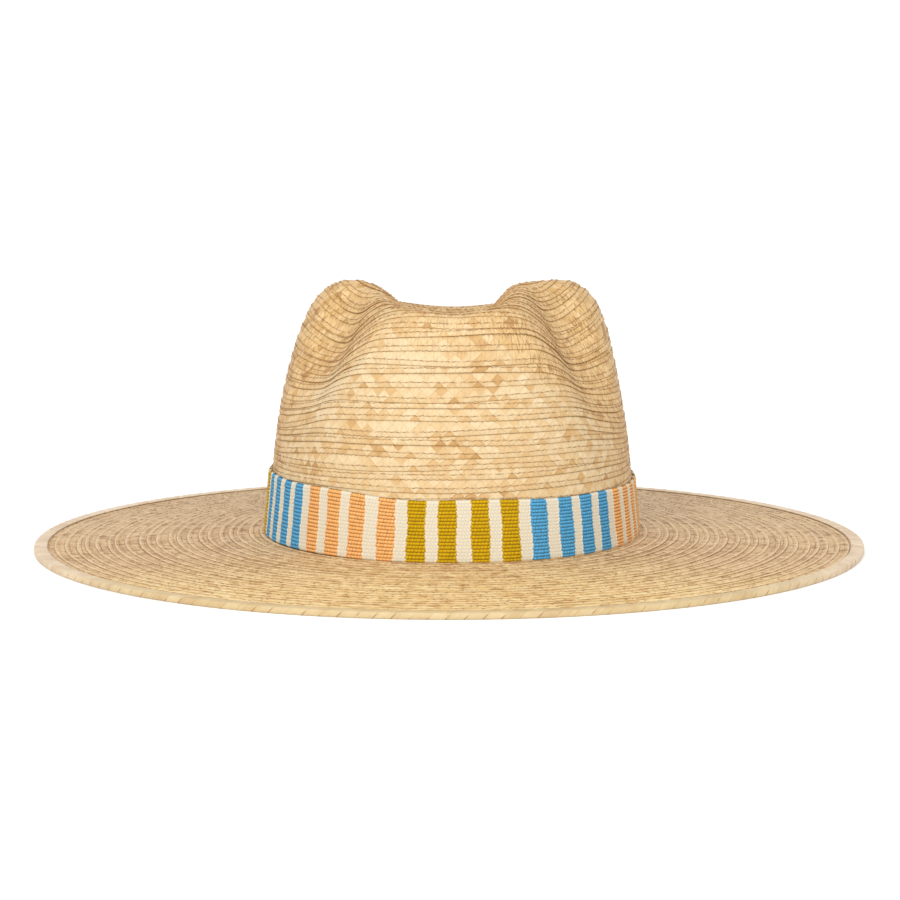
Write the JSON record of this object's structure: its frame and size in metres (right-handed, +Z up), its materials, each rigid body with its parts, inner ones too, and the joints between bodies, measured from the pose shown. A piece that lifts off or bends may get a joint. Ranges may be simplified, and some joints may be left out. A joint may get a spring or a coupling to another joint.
{
  "type": "palm leaf hat",
  "caption": "Wide-brimmed palm leaf hat with a teardrop crown, two front pinches, a bound brim edge and a striped woven hatband.",
  "frame": {"origin": "centre of the brim's outline, on the plane that the brim's edge rests on", "axes": "+Z up through the crown, -Y towards the hat's front, +X to the wearer's left"},
  "size_m": [0.3804, 0.3956, 0.1229],
  "materials": {
    "palm_plait_crown": "sewn palm leaf plait, cream yellow to tan",
    "palm_plait_brim": "sewn palm leaf plait, tan",
    "palm_strip": "pale folded palm strip",
    "striped_cotton": "woven cotton, cream with blue, peach and mustard stripes"
  },
  "bodies": {
    "root": {"crown_side": "palm_plait_crown", "crown_top": "palm_plait_crown", "brim": "palm_plait_brim", "edge_binding": "palm_strip", "hatband": "striped_cotton"}
  },
  "joints": []
}
